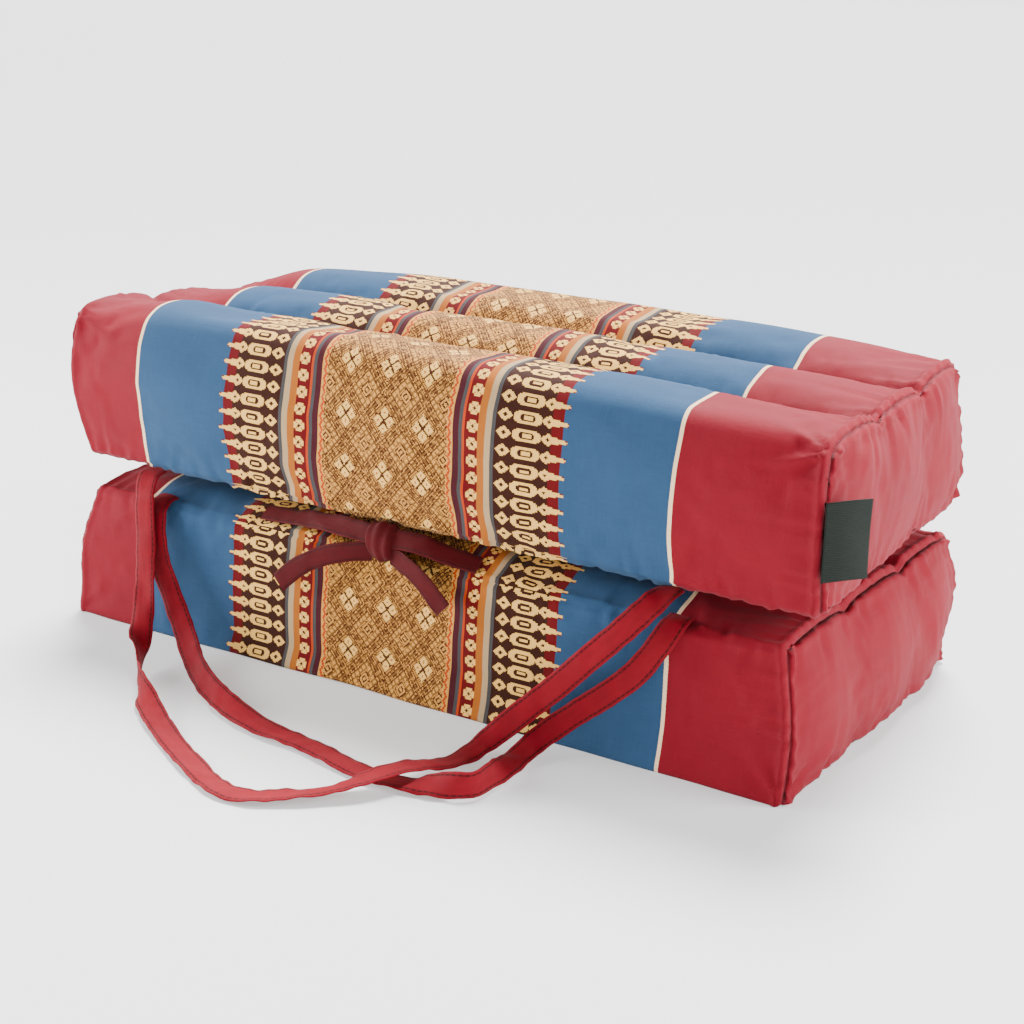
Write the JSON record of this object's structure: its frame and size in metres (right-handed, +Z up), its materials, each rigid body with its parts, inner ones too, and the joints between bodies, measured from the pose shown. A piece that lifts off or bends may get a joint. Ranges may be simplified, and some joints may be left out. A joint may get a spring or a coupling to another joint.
{
  "type": "folded kapok cushion",
  "caption": "Folding floor cushion of channelled, filled blocks folded one on the other, with a hinge strip, flat carrying handles and a front tie.",
  "frame": {"origin": "middle of the flat base, on the floor under the centre of the lower block", "axes": "+X along the channels, -Y towards the front with the handles and the tie, +Z up"},
  "size_m": [0.4316, 0.3187, 0.1679],
  "materials": {
    "patterned_cotton": "woven cotton, matt, blue ground with a gold and brown woven pattern and red ends",
    "red_cotton": "plain red cotton, slightly glossy",
    "dark_tag": "plain dark woven tape"
  },
  "bodies": {
    "root": {"upper_block": "patterned_cotton", "lower_block": "patterned_cotton", "hinge_strip": "red_cotton", "handle_upper": "red_cotton", "handle_lower": "red_cotton", "tie_knot": "red_cotton", "tie_loop_left": "red_cotton", "tie_loop_right": "red_cotton", "tie_tail_left": "red_cotton", "tie_tail_right": "red_cotton", "seam_tag": "dark_tag"}
  },
  "joints": []
}
